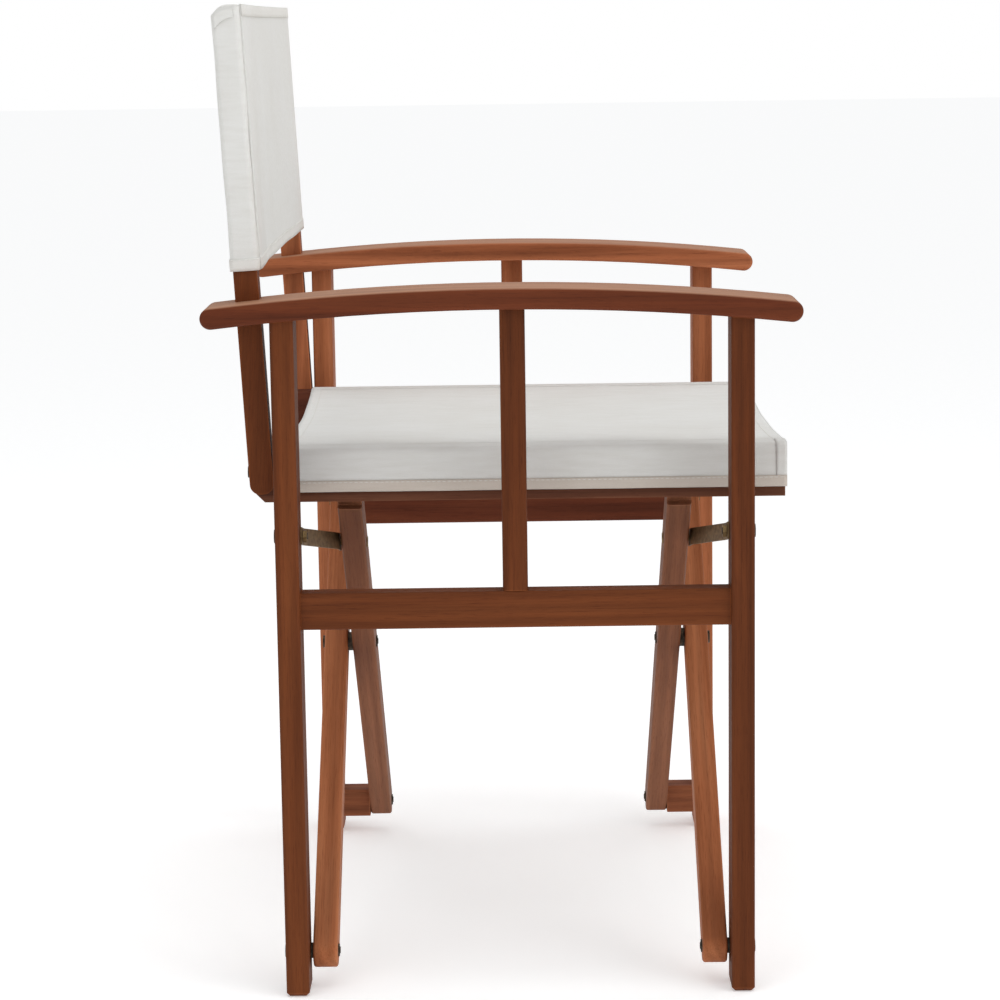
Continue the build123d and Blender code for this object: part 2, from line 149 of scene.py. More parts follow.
def wood(name, dark, mid, light, rot=(0, 0, 0), seed=0.0, gloss=0.0, painted_sheen=None):
    """Oiled hardwood. The grain runs along the local z of the mapping after rot."""
    m, nt, bsdf = new_mat(name)
    tc = nt.nodes.new("ShaderNodeTexCoord")
    turned = mapping(nt, tc.outputs["Object"], rot=rot, loc=(seed, seed * 1.7, seed * 0.6))
    long_vec = mapping(nt, turned, scale=(1, 1, 0.05))
    broad = noise(nt, long_vec, 38.0, 3.0, 0.5, 0.6)
    fine_vec = mapping(nt, turned, scale=(1, 1, 0.018))
    fine = noise(nt, fine_vec, 620.0, 5.0, 0.65)
    pores = noise(nt, mapping(nt, turned, scale=(1, 1, 0.035)), 1500.0, 2.0, 0.6)
    patch = noise(nt, tc.outputs["Object"], 7.0, 2.0, 0.5)
    # growth rings seen as soft bands across the grain
    wave = nt.nodes.new("ShaderNodeTexWave")
    wave.wave_type = "RINGS"
    wave.rings_direction = "Z"
    wave.inputs["Scale"].default_value = 26.0
    wave.inputs["Distortion"].default_value = 7.0
    wave.inputs["Detail"].default_value = 2.0
    wave.inputs["Detail Scale"].default_value = 1.2
    nt.links.new(mapping(nt, turned, scale=(1, 1, 0.05), loc=(0.11, 0.07, 0)), wave.inputs["Vector"])
    base = ramp(nt, [(0.30, dark), (0.50, mid), (0.72, light)])
    nt.links.new(broad.outputs["Fac"], base.inputs["Fac"])
    rings = mix_rgb(nt, "MULTIPLY", 0.16, base.outputs["Color"], wave.outputs["Color"])
    fr = ramp(nt, [(0.30, (0.62, 0.56, 0.52, 1)), (0.52, (1, 1, 1, 1)), (0.75, (1.0, 1.0, 1.0, 1))])
    nt.links.new(fine.outputs["Fac"], fr.inputs["Fac"])
    c = mix_rgb(nt, "MULTIPLY", 0.55, rings, fr.outputs["Color"])
    pr = ramp(nt, [(0.34, (0.45, 0.36, 0.32, 1)), (0.42, (1, 1, 1, 1))])
    nt.links.new(pores.outputs["Fac"], pr.inputs["Fac"])
    c = mix_rgb(nt, "MULTIPLY", 0.45, c, pr.outputs["Color"])
    pa = ramp(nt, [(0.35, (0.86, 0.84, 0.84, 1)), (0.65, (1.0, 1.0, 1.0, 1))])
    nt.links.new(patch.outputs["Fac"], pa.inputs["Fac"])
    c = mix_rgb(nt, "MULTIPLY", 0.7, c, pa.outputs["Color"])
    # edges rubbed paler, broken up so that the wear isn't even
    bev = nt.nodes.new("ShaderNodeBevel")
    bev.samples = 4
    bev.inputs["Radius"].default_value = 0.0022
    geo = nt.nodes.new("ShaderNodeNewGeometry")
    dot = nt.nodes.new("ShaderNodeVectorMath")
    dot.operation = "DOT_PRODUCT"
    nt.links.new(bev.outputs["Normal"], dot.inputs[0])
    nt.links.new(geo.outputs["Normal"], dot.inputs[1])
    edge = nt.nodes.new("ShaderNodeMapRange")
    edge.inputs["From Min"].default_value = 0.995
    edge.inputs["From Max"].default_value = 0.90
    nt.links.new(dot.outputs["Value"], edge.inputs["Value"])
    wn = noise(nt, tc.outputs["Object"], 45.0, 4.0, 0.6)
    wm = nt.nodes.new("ShaderNodeMath")
    wm.operation = "MULTIPLY"
    nt.links.new(edge.outputs["Result"], wm.inputs[0])
    nt.links.new(wn.outputs["Fac"], wm.inputs[1])
    worn = tuple(min(1.0, v * 1.55) for v in light[:3]) + (1.0,)
    c = mix_rgb(nt, "MIX", wm.outputs["Value"], c, worn)
    if painted_sheen:
        # upward faces painted paler, unevenly: a painted sheen standing in for light caught on the top
        sep = nt.nodes.new("ShaderNodeSeparateXYZ")
        nt.links.new(tc.outputs["Normal"], sep.inputs[0])
        facing = nt.nodes.new("ShaderNodeMapRange")
        facing.inputs["From Min"].default_value = 0.55
        facing.inputs["From Max"].default_value = 0.97
        facing.inputs["To Max"].default_value = 0.95
        nt.links.new(sep.outputs["Z"], facing.inputs["Value"])
        uneven = nt.nodes.new("ShaderNodeMapRange")
        uneven.inputs["From Min"].default_value = 0.3
        uneven.inputs["From Max"].default_value = 0.6
        uneven.inputs["To Min"].default_value = 0.65
        nt.links.new(broad.outputs["Fac"], uneven.inputs["Value"])
        both = nt.nodes.new("ShaderNodeMath")
        both.operation = "MULTIPLY"
        nt.links.new(facing.outputs["Result"], both.inputs[0])
        nt.links.new(uneven.outputs["Result"], both.inputs[1])
        pale = mix_rgb(nt, "MULTIPLY", 0.5, painted_sheen, fr.outputs["Color"])
        c = mix_rgb(nt, "MIX", both.outputs["Value"], c, pale)
    nt.links.new(c, bsdf.inputs["Base Color"])
    rr = nt.nodes.new("ShaderNodeMapRange")
    rr.inputs["To Min"].default_value = 0.50
    rr.inputs["To Max"].default_value = 0.70
    nt.links.new(fine.outputs["Fac"], rr.inputs["Value"])
    nt.links.new(rr.outputs["Result"], bsdf.inputs["Roughness"])
    bsdf.inputs["Specular IOR Level"].default_value = 0.12
    bsdf.inputs["Coat Weight"].default_value = gloss
    bsdf.inputs["Coat Roughness"].default_value = 0.35
    bump = nt.nodes.new("ShaderNodeBump")
    bump.inputs["Strength"].default_value = 0.35
    bump.inputs["Distance"].default_value = 0.0004
    nt.links.new(fine.outputs["Fac"], bump.inputs["Height"])
    b2 = nt.nodes.new("ShaderNodeBump")
    b2.inputs["Strength"].default_value = 0.25
    b2.inputs["Distance"].default_value = 0.0003
    nt.links.new(pores.outputs["Fac"], b2.inputs["Height"])
    nt.links.new(bump.outputs["Normal"], b2.inputs["Normal"])
    nt.links.new(b2.outputs["Normal"], bsdf.inputs["Normal"])
    return m


def canvas(name, across, base=(226, 222, 214), shade=(206, 201, 191), pitch=0.00085, strength=0.5):
    """Plain-weave cotton canvas. across gives the weight of x, y, z in the two thread directions."""
    m, nt, bsdf = new_mat(name)
    tc = nt.nodes.new("ShaderNodeTexCoord")
    obj = tc.outputs["Object"]
    waves = []
    for k, vec in enumerate(across):
        d = nt.nodes.new("ShaderNodeVectorMath")
        d.operation = "DOT_PRODUCT"
        d.inputs[1].default_value = vec
        nt.links.new(obj, d.inputs[0])
        jitter = noise(nt, mapping(nt, obj, scale=(1, 1, 1), loc=(k * 3.1, 0, 0)), 90.0, 2.0, 0.5)
        add = nt.nodes.new("ShaderNodeMath")
        add.operation = "MULTIPLY_ADD"
        add.inputs[1].default_value = 0.00022
        nt.links.new(jitter.outputs["Fac"], add.inputs[0])
        nt.links.new(d.outputs["Value"], add.inputs[2])
        sn = nt.nodes.new("ShaderNodeMath")
        sn.operation = "MULTIPLY"
        sn.inputs[1].default_value = 2 * math.pi / pitch
        nt.links.new(add.outputs["Value"], sn.inputs[0])
        s2 = nt.nodes.new("ShaderNodeMath")
        s2.operation = "SINE"
        nt.links.new(sn.outputs["Value"], s2.inputs[0])
        waves.append(s2.outputs["Value"])
    # over-and-under: the product of the two waves raises every other crossing
    prod = nt.nodes.new("ShaderNodeMath")
    prod.operation = "MULTIPLY"
    nt.links.new(waves[0], prod.inputs[0])
    nt.links.new(waves[1], prod.inputs[1])
    height = nt.nodes.new("ShaderNodeMapRange")
    height.inputs["From Min"].default_value = -1.0
    height.inputs["From Max"].default_value = 1.0
    nt.links.new(prod.outputs["Value"], height.inputs["Value"])
    fuzz = noise(nt, obj, 900.0, 3.0, 0.6)
    slub = noise(nt, mapping(nt, obj, scale=(1.0, 0.12, 1.0)), 220.0, 3.0, 0.6)
    soil = noise(nt, obj, 9.0, 3.0, 0.5)
    base_c = mix_rgb(nt, "MIX", height.outputs["Result"], srgb(*shade), srgb(*base))
    sr = ramp(nt, [(0.34, (0.93, 0.92, 0.90, 1)), (0.66, (1, 1, 1, 1))])
    nt.links.new(soil.outputs["Fac"], sr.inputs["Fac"])
    c = mix_rgb(nt, "MULTIPLY", 0.55, base_c, sr.outputs["Color"])
    sl = ramp(nt, [(0.32, (0.90, 0.89, 0.87, 1)), (0.6, (1, 1, 1, 1))])
    nt.links.new(slub.outputs["Fac"], sl.inputs["Fac"])
    c = mix_rgb(nt, "MULTIPLY", 0.45, c, sl.outputs["Color"])
    fz = ramp(nt, [(0.3, (0.92, 0.92, 0.91, 1)), (0.65, (1, 1, 1, 1))])
    nt.links.new(fuzz.outputs["Fac"], fz.inputs["Fac"])
    c = mix_rgb(nt, "MULTIPLY", 0.4, c, fz.outputs["Color"])
    nt.links.new(c, bsdf.inputs["Base Color"])
    bsdf.inputs["Roughness"].default_value = 0.92
    bsdf.inputs["Specular IOR Level"].default_value = 0.18
    bsdf.inputs["Sheen Weight"].default_value = 0.12
    bsdf.inputs["Sheen Roughness"].default_value = 0.6
    bump = nt.nodes.new("ShaderNodeBump")
    bump.inputs["Strength"].default_value = strength
    bump.inputs["Distance"].default_value = 0.00025
    nt.links.new(height.outputs["Result"], bump.inputs["Height"])
    b2 = nt.nodes.new("ShaderNodeBump")
    b2.inputs["Strength"].default_value = 0.3
    b2.inputs["Distance"].default_value = 0.0002
    nt.links.new(slub.outputs["Fac"], b2.inputs["Height"])
    nt.links.new(bump.outputs["Normal"], b2.inputs["Normal"])
    wr = noise(nt, mapping(nt, obj, scale=(0.6, 1.0, 1.0)), 14.0, 2.0, 0.5)
    b3 = nt.nodes.new("ShaderNodeBump")
    b3.inputs["Strength"].default_value = 0.25
    b3.inputs["Distance"].default_value = 0.004
    nt.links.new(wr.outputs["Fac"], b3.inputs["Height"])
    nt.links.new(b2.outputs["Normal"], b3.inputs["Normal"])
    nt.links.new(b3.outputs["Normal"], bsdf.inputs["Normal"])
    return m


def metal(name, a, b, rough=(0.34, 0.56), scale=220.0):
    m, nt, bsdf = new_mat(name)
    tc = nt.nodes.new("ShaderNodeTexCoord")
    n1 = noise(nt, tc.outputs["Object"], scale, 5.0, 0.6)
    n2 = noise(nt, mapping(nt, tc.outputs["Object"], scale=(0.08, 1, 1)), 1400.0, 3.0, 0.6)
    r = ramp(nt, [(0.34, srgb(*a)), (0.66, srgb(*b))])
    nt.links.new(n1.outputs["Fac"], r.inputs["Fac"])
    sr = ramp(nt, [(0.35, (0.78, 0.78, 0.78, 1)), (0.6, (1, 1, 1, 1))])
    nt.links.new(n2.outputs["Fac"], sr.inputs["Fac"])
    nt.links.new(mix_rgb(nt, "MULTIPLY", 0.6, r.outputs["Color"], sr.outputs["Color"]), bsdf.inputs["Base Color"])
    bsdf.inputs["Metallic"].default_value = 0.9
    rr = nt.nodes.new("ShaderNodeMapRange")
    rr.inputs["To Min"].default_value = rough[0]
    rr.inputs["To Max"].default_value = rough[1]
    nt.links.new(n2.outputs["Fac"], rr.inputs["Value"])
    nt.links.new(rr.outputs["Result"], bsdf.inputs["Roughness"])
    bump = nt.nodes.new("ShaderNodeBump")
    bump.inputs["Strength"].default_value = 0.3
    bump.inputs["Distance"].default_value = 0.0001
    nt.links.new(n2.outputs["Fac"], bump.inputs["Height"])
    nt.links.new(bump.outputs["Normal"], bsdf.inputs["Normal"])
    return m


# the first three stops are the near side frame's wood darkened with painted shade; the F_ stops are the far
# frame's wood lightened with painted light
DARK, MID, LIGHT = srgb(86, 43, 20), srgb(107, 55, 26), srgb(127, 69, 35)
F_DARK, F_MID, F_LIGHT = srgb(134, 74, 44), srgb(164, 96, 60), srgb(184, 114, 76)
NEAR_SHADED, FAR_LIT = (DARK, MID, LIGHT), (F_DARK, F_MID, F_LIGHT)
ALONG_Z = (0, 0, 0)
ALONG_Y = (math.radians(90), 0, 0)
LEAN_ROT = (-LEAN, 0, 0)
# one wood on both side frames: the near frame's boards are painted darker as shade, the far frame's lighter where
# light falls on them
M_LEG = [wood(f"wood_leg_{k}", *(NEAR_SHADED if k < 2 else FAR_LIT), ALONG_Z, 0.37 * k + 0.2) for k in range(4)]
M_SLAT = [wood(f"wood_slat_{k}", *(NEAR_SHADED if k < 1 else FAR_LIT), ALONG_Z, 2.3 + k) for k in range(2)]
M_POST = [wood(f"wood_post_{k}", *(NEAR_SHADED if k < 1 else FAR_LIT), LEAN_ROT, 3.1 + k) for k in range(2)]
# the near armrest is painted darker as shade and the far one lighter where light falls; both get a pale painted
# sheen on their upward faces
M_ARM = [wood(f"wood_armrest_{k}", *((srgb(84, 38, 18), srgb(103, 48, 24), srgb(120, 60, 32)) if k < 1 else (srgb(142, 78, 46), srgb(172, 100, 63), srgb(192, 118, 79))), ALONG_Y, 4.1 + k, gloss=0.06, painted_sheen=srgb(176, 130, 102)) for k in range(2)]
# the far lower rail is painted darker still: the seat's shadow painted onto it; the near one shares the near
# frame's painted shade
M_LOW = [wood(f"wood_lower_rail_{k}", *(NEAR_SHADED if k < 1 else (srgb(82, 39, 23), srgb(103, 51, 31), srgb(120, 65, 41))), ALONG_Y, 6.3 + k) for k in range(2)]
# the far seat rail is painted darker than the near one: painted shade under the seat
M_RAIL = [wood("wood_seat_rail_0", srgb(84, 48, 32), srgb(104, 62, 44), srgb(122, 78, 56), ALONG_Y, 8.2), wood("wood_seat_rail_1", srgb(70, 34, 21), srgb(88, 44, 28), srgb(106, 56, 36), ALONG_Y, 9.1)]
# a cross leg's foot-to-head line leans from vertical by 90 degrees less its angle
M_OUT = wood("wood_outer_cross_leg", srgb(146, 84, 50), srgb(174, 104, 66), srgb(190, 122, 82), (0, -(math.pi / 2 - THETA), 0), 9.4)
# the inner cross legs are painted darker than the outer ones: painted shade, as their faces turn away from the
# light
M_INN = wood("wood_inner_cross_leg", srgb(112, 68, 46), srgb(137, 87, 60), srgb(154, 104, 76), (0, (math.pi / 2 - THETA), 0), 10.7)
M_SPACER = wood("wood_spacer", srgb(120, 68, 44), srgb(146, 86, 56), srgb(164, 104, 70), ALONG_Y, 12.1)
M_DOWEL = wood("wood_dowel", srgb(140, 92, 62), srgb(168, 118, 84), srgb(188, 140, 104), ALONG_Z, 13.3)
M_STRAP = metal("bronzed_strap", (104, 82, 56), (140, 116, 84))
M_BOLT = metal("dulled_brass", (120, 98, 66), (164, 138, 96), (0.30, 0.5))
M_BLACK = metal("darkened_bolt", (60, 54, 48), (96, 86, 74), (0.38, 0.6))
W_BASE, W_SHADE = (237, 237, 234), (222, 221, 218)
M_SEAT = canvas("canvas_seat", ((1, 0, 1), (0, 1, 0)), W_BASE, W_SHADE)
M_BACK = canvas("canvas_back", ((1, 1, 0), (0, 0, 1)), W_BASE, W_SHADE)
# the seat's side hems are painted a darker beige: painted shade where the hem turns in under the rail
M_HEM_SEAT_SHADED = canvas("canvas_seat_hem", ((1, 0, 1), (0, 1, 0)), (222, 212, 202), (204, 193, 182), 0.00085, 0.6)
M_HEM_BACK = canvas("canvas_back_hem", ((1, 1, 0), (0, 0, 1)), (238, 237, 233), (224, 221, 216), 0.00085, 0.5)


def thread():
    m, nt, bsdf = new_mat("stitching_thread")
    tc = nt.nodes.new("ShaderNodeTexCoord")
    n = noise(nt, tc.outputs["Object"], 2600.0, 3.0, 0.6)
    r = ramp(nt, [(0.35, srgb(208, 205, 199)), (0.65, srgb(238, 236, 231))])
    nt.links.new(n.outputs["Fac"], r.inputs["Fac"])
    nt.links.new(r.outputs["Color"], bsdf.inputs["Base Color"])
    bsdf.inputs["Roughness"].default_value = 0.85
    bump = nt.nodes.new("ShaderNodeBump")
    bump.inputs["Strength"].default_value = 0.5
    bump.inputs["Distance"].default_value = 0.00015
    nt.links.new(n.outputs["Fac"], bump.inputs["Height"])
    nt.links.new(bump.outputs["Normal"], bsdf.inputs["Normal"])
    return m


M_THREAD = thread()


def material_for(n):
    left = n.startswith("left")
    if "canvas" in n:
        return M_SEAT if n.startswith("seat") else M_BACK
    if n.endswith(("rear_leg", "front_leg")) and "cross" not in n:
        return M_LEG[(2 if left else 0) + (1 if "front" in n else 0)]
    if n.endswith("upright_slat"):
        return M_SLAT[1 if left else 0]
    if n.endswith("back_post"):
        return M_POST[1 if left else 0]
    if n.endswith("armrest"):
        return M_ARM[1 if left else 0]
    if n.endswith("lower_rail"):
        return M_LOW[1 if left else 0]
    if n.endswith("seat_rail"):
        return M_RAIL[1 if left else 0]
    if n.startswith("outer_cross"):
        return M_OUT
    if n.startswith("inner_cross"):
        return M_INN
    if n.endswith("foot_spacers"):
        return M_SPACER
    if n.endswith("frame_dowels"):
        return M_DOWEL
    if n.endswith("_stay"):
        return M_STRAP
    if n.endswith(("stay_nuts", "pegs", "post_nut", "post_spacer")):
        return M_BOLT
    return M_BLACK


for name, ob in frame["nodes"].items():
    ob.data.materials.clear()
    ob.data.materials.append(material_for(name))


# ---- cloth ---------------------------------------------------------------------------
def mesh_object(name, verts, faces, mat, smooth=True):
    me = bpy.data.meshes.new(name)
    me.from_pydata([tuple(v) for v in verts], [], faces)
    me.validate()
    bm = bmesh.new()
    bm.from_mesh(me)
    bmesh.ops.recalc_face_normals(bm, faces=bm.faces)
    bm.to_mesh(me)
    bm.free()
    for p in me.polygons:
        p.use_smooth = smooth
    me.materials.append(mat)
    ob = bpy.data.objects.new(name, me)
    bpy.context.scene.collection.objects.link(ob)
    return ob


def slab(name, point, nu, nv, thick, mat, closed_u=False):
    """Closed cloth of real thickness: point(u, v) gives the middle surface and its normal."""
    verts, faces = [], []
    rows = nu if closed_u else nu + 1
    for i in range(rows):
        for j in range(nv + 1):
            p, n = point(i / nu, j / nv)
            verts.append(p + n * thick / 2)
            verts.append(p - n * thick / 2)

    def at(i, j, k):
        return 2 * ((i % rows) * (nv + 1) + j) + k
    for i in range(nu):
        for j in range(nv):
            faces.append((at(i, j, 0), at(i + 1, j, 0), at(i + 1, j + 1, 0), at(i, j + 1, 0)))
            faces.append((at(i, j, 1), at(i, j + 1, 1), at(i + 1, j + 1, 1), at(i + 1, j, 1)))
    for i in range(nu):
        faces.append((at(i, 0, 0), at(i, 0, 1), at(i + 1, 0, 1), at(i + 1, 0, 0)))
        faces.append((at(i, nv, 0), at(i + 1, nv, 0), at(i + 1, nv, 1), at(i, nv, 1)))
    if not closed_u:
        for j in range(nv):
            faces.append((at(0, j, 0), at(0, j + 1, 0), at(0, j + 1, 1), at(0, j, 1)))
            faces.append((at(nu, j, 0), at(nu, j, 1), at(nu, j + 1, 1), at(nu, j + 1, 0)))
    return mesh_object(name, verts, faces, mat)


def stitches(name, points, normal, length=0.0032, gap=0.0014, r=0.00034):
    """A row of stitches along a polyline: small thread humps, one mesh."""
    verts, faces = [], []
    dist = [0.0]
    for a, b in zip(points, points[1:]):
        dist.append(dist[-1] + (b - a).length)
    total = dist[-1]

    def at(s):
        for k in range(len(points) - 1):
            if s <= dist[k + 1] or k == len(points) - 2:
                t = (s - dist[k]) / max(dist[k + 1] - dist[k], 1e-9)
                return points[k].lerp(points[k + 1], t), (points[k + 1] - points[k]).normalized()
    s = gap
    while s + length < total:
        p, d = at(s + length / 2)
        n = normal(p) if callable(normal) else normal
        side = d.cross(n).normalized()
        start = len(verts)
        for m_ in range(6):
            f = m_ / 5.0
            w = math.sin(math.pi * min(max(f, 0.08), 0.92))
            c = p + d * (f - 0.5) * length + n * (0.00012 + 0.0003 * w - 0.00025)
            for q in range(6):
                a = q * math.tau / 6
                rr = r * (0.45 + 0.55 * w)
                verts.append(c + side * math.cos(a) * rr + n * math.sin(a) * rr)
        for m_ in range(5):
            for q in range(6):
                a, b = start + 6 * m_ + q, start + 6 * m_ + (q + 1) % 6
                faces.append((a, b, b + 6, a + 6))
        faces.append(tuple(start + q for q in reversed(range(6))))
        faces.append(tuple(start + 30 + q for q in range(6)))
        s += length + gap
    return mesh_object(name, verts, faces, M_THREAD)


def wrinkle(x, y, seed=0.0):
    return (math.sin(x * 31 + seed) * math.sin(y * 17 + 1.3 * seed)
            + 0.6 * math.sin(x * 13 - y * 23 + 2.1 * seed)
            + 0.4 * math.sin(x * 57 + y * 11 + seed * 0.7))


T = 0.0014
SEAT_Z = RAIL_TOP + 0.0011
SEAM_X = RAIL_IN - 0.0006       # where the sling meets the cloth on the rail
SAG = 0.007


def sag_at(x, y):
    u = min(abs(x) / SEAM_X, 1.0)
    v = (y - SEAT_Y0) / (SEAT_Y1 - SEAT_Y0)
    ends = 0.75 + 0.25 * math.sin(math.pi * v)
    return -SAG * (1 - u * u) * ends


def sling(u, v):
    x = -SEAM_X + 2 * SEAM_X * u
    y = SEAT_Y0 + (SEAT_Y1 - SEAT_Y0) * v
    # front and rear edges bow in a little between the rails
    y -= math.copysign(1, v - 0.5) * 0.003 * (1 - (2 * u - 1) ** 2) * (abs(2 * v - 1) ** 3)
    fade = (1 - (2 * u - 1) ** 8)
    z = SEAT_Z + sag_at(x, y) + 0.00045 * wrinkle(x, y, 1.0) * fade
    # pull lines running in from the rails
    z += 0.0004 * math.sin(y * 75 + 2 * math.sin(x * 9)) * (abs(2 * u - 1) ** 2) * fade
    return Vector((x, y, z)), Vector((0, 0, 1))


seat = slab("seat_cloth", sling, 96, 104, T, M_SEAT)

soft_seat = [seat]


def hem_band_seat(name, v_edge):
    """Hem along the front or rear edge: a second layer under and over, 10 mm wide."""
    def pt(u, v):
        w = v * 0.0105 / (SEAT_Y1 - SEAT_Y0)
        p, n = sling(u, w if v_edge == 0 else 1 - w)
        return p + Vector((0, 0, -0.0012)), n
    return slab(name, pt, 96, 3, 0.0010, M_SEAT)


hem_front = hem_band_seat("seat_front_hem", 0)
hem_rear = hem_band_seat("seat_rear_hem", 1)


def seat_line(frac):
    return [sling(i / 60, frac)[0] + Vector((0, 0, T / 2)) for i in range(61)]


st_front = stitches("seat_front_stitches", seat_line(0.0105 / 0.45), Vector((0, 0, 1)))
st_rear = stitches("seat_rear_stitches", seat_line(1 - 0.0105 / 0.45), Vector((0, 0, 1)))

# the cloth wrapped over a rail: across the top, round the edge and down the outer face
R_EDGE = 0.0042


def wrap_path(side, lift=0.0):
    """Points and normals from the seam over the rail to the lower edge."""
    xo = RAIL_OUT + 0.0010 + lift
    zt = SEAT_Z + lift
    pts = []
    for k in range(9):
        x = RAIL_IN + 0.0002 + (xo - R_EDGE - RAIL_IN - 0.0002) * k / 8
        pts.append((Vector((side * x, 0, zt)), Vector((0, 0, 1))))
    for k in range(1, 9):
        a = math.pi / 2 * k / 8
        pts.append((Vector((side * (xo - R_EDGE + R_EDGE * math.sin(a)), 0, zt - R_EDGE + R_EDGE * math.cos(a))),
                    Vector((side * math.sin(a), 0, math.cos(a)))))
    z0 = zt - R_EDGE
    for k in range(1, 17):
        z = z0 + (WRAP_LOW - z0) * k / 16
        pts.append((Vector((side * xo, 0, z)), Vector((side, 0, 0))))
    return pts


def seat_wrap(side, name):
    path = wrap_path(side)

    def pt(u, v):
        i = min(int(round(u * (len(path) - 1))), len(path) - 1)
        p, n = path[i]
        y = SEAT_Y0 + (SEAT_Y1 - SEAT_Y0) * v
        down = max(0.0, (u - 0.45) / 0.55)
        ripple = 0.00035 * math.sin(y * 42 + side) * down + 0.00022 * math.sin(y * 117 + 1.7) * down
        return Vector((p.x, y, p.z)) + n * (ripple + 0.0002 * down), n
    return slab(f"seat_{name}_wrap", pt, len(path) - 1, 120, T, M_SEAT)


def seat_wrap_hem(side, name):
    def pt(u, v):
        z = WRAP_LOW + 0.0100 * (1 - u)
        y = SEAT_Y0 + (SEAT_Y1 - SEAT_Y0) * v
        ripple = 0.00035 * math.sin(y * 42 + side) + 0.00022 * math.sin(y * 117 + 1.7)
        puff = 0.00035 * math.sin(math.pi * min(max(u, 0.0), 1.0))
        return Vector((side * (RAIL_OUT + 0.0024 + puff + ripple), y, z)), Vector((side, 0, 0))
    # the hem's darker beige is painted shade
    h = slab(f"seat_{name}_wrap_hem", pt, 6, 120, 0.0013, M_HEM_SEAT_SHADED)
    pts = []
    for i in range(121):
        y = SEAT_Y0 + 0.002 + (SEAT_Y1 - SEAT_Y0 - 0.004) * i / 120
        ripple = 0.00035 * math.sin(y * 42 + side) + 0.00022 * math.sin(y * 117 + 1.7)
        pts.append(Vector((side * (RAIL_OUT + 0.00315 + ripple), y, WRAP_LOW + 0.0085)))
    s = stitches(f"seat_{name}_wrap_stitches", pts, Vector((side, 0, 0)))
    # front edge hem, a band down the wrap's front end and across the rail
    path = wrap_path(side, 0.0008)

    def band(u, v):
        i = min(int(round(u * (len(path) - 3))), len(path) - 3)
        p, n = path[i]
        return Vector((p.x, SEAT_Y0 + 0.0098 * v, p.z)) + n * 0.0002, n
    b = slab(f"seat_{name}_front_fold", band, len(path) - 3, 4, 0.0008, M_SEAT)
    return h, s, b


wraps = {}
for side, nm in ((-1, "right"), (1, "left")):
    w = seat_wrap(side, nm)
    h, s, b = seat_wrap_hem(side, nm)
    wraps[nm] = (w, h, s, b)

# ---- back cloth -----------------------------------------------------------------------
HY = POST_D / 2 + 0.0012
BX0, BX1 = POST_IN - 0.0012, POST_OUT + 0.0012
SEAM_B = POST_OUT - 0.0048


def back_point(x, y_off, s):
    return Vector((x, 0, 0)) + Vector((0, POST_REF.y, POST_REF.z)) + UP * s + BACK * y_off


def back_panel(u, v):
    x = -SEAM_B + 2 * SEAM_B * u
    s = S_BOT + (S_CAP - S_BOT) * v
    e = max(0.0, 1 - (x / POST_IN) ** 2)
    # the panel bows back a little between the posts, and its lower edge hangs slightly
    off = -HY - 0.0013 + 0.005 * e + 0.00045 * wrinkle(x, s, 2.4) * (1 - (2 * u - 1) ** 8)
    off += 0.0005 * math.sin(s * 60 + x * 6) * (abs(2 * u - 1) ** 2) * (1 - (2 * u - 1) ** 8)
    s -= 0.0015 * e * (1 - v)
    return back_point(x, off, s), -BACK


back = slab("back_cloth", back_panel, 110, 60, T, M_BACK)


def back_hem(name, top):
    def pt(u, v):
        w = v * 0.0105 / (S_CAP - S_BOT)
        p, n = back_panel(u, 1 - w if top else w)
        return p + n * (0.0009), n
    return slab(name, pt, 110, 3, 0.0008, M_HEM_BACK)


hem_top = back_hem("back_top_hem", True)
hem_low = back_hem("back_lower_hem", False)


def back_line(v):
    return [back_panel(i / 70, v)[0] - BACK * (T / 2 + 0.0007) for i in range(71)]


st_top = stitches("back_top_stitches", back_line(1 - 0.0093 / (S_CAP - S_BOT)), -BACK)
st_low = stitches("back_lower_stitches", back_line(0.0093 / (S_CAP - S_BOT)), -BACK)


def ring(side, inflate=0.0):
    """Round-cornered loop about the post, starting where the panel meets it."""
    x0, x1 = BX0 - inflate, BX1 + inflate
    hy = HY + inflate
    r = 0.0040
    corners = ((x0 + r, -hy + r, 180), (x0 + r, hy - r, 90), (x1 - r, hy - r, 0), (x1 - r, -hy + r, -90))
    loop = []
    for cx, cy, a0 in corners:
        for k in range(7):
            a = math.radians(a0 + 90 - 90 * k / 6)
            if a0 == 180:
                a = math.radians(270 - 90 * k / 6)
            elif a0 == 90:
                a = math.radians(180 - 90 * k / 6)
            elif a0 == 0:
                a = math.radians(90 - 90 * k / 6)
            else:
                a = math.radians(0 - 90 * k / 6)
            loop.append((Vector((side * (cx + r * math.cos(a)), cy + r * math.sin(a))), Vector((side * math.cos(a), math.sin(a)))))
    dense = []
    for k in range(len(loop)):
        p, n = loop[k]
        q, m_ = loop[(k + 1) % len(loop)]
        dense.append((p, n))
        if (q - p).length > 0.003:
            for t in (0.25, 0.5, 0.75):
                dense.append((p.lerp(q, t), n.lerp(m_, t).normalized()))
    return dense


def corner(y):
    """How far the folded rear top corner drops, by depth behind the post's centre line."""
    t = min(max((y + 0.001) / (HY + 0.001), 0.0), 1.0)
    return 0.0075 * t * t


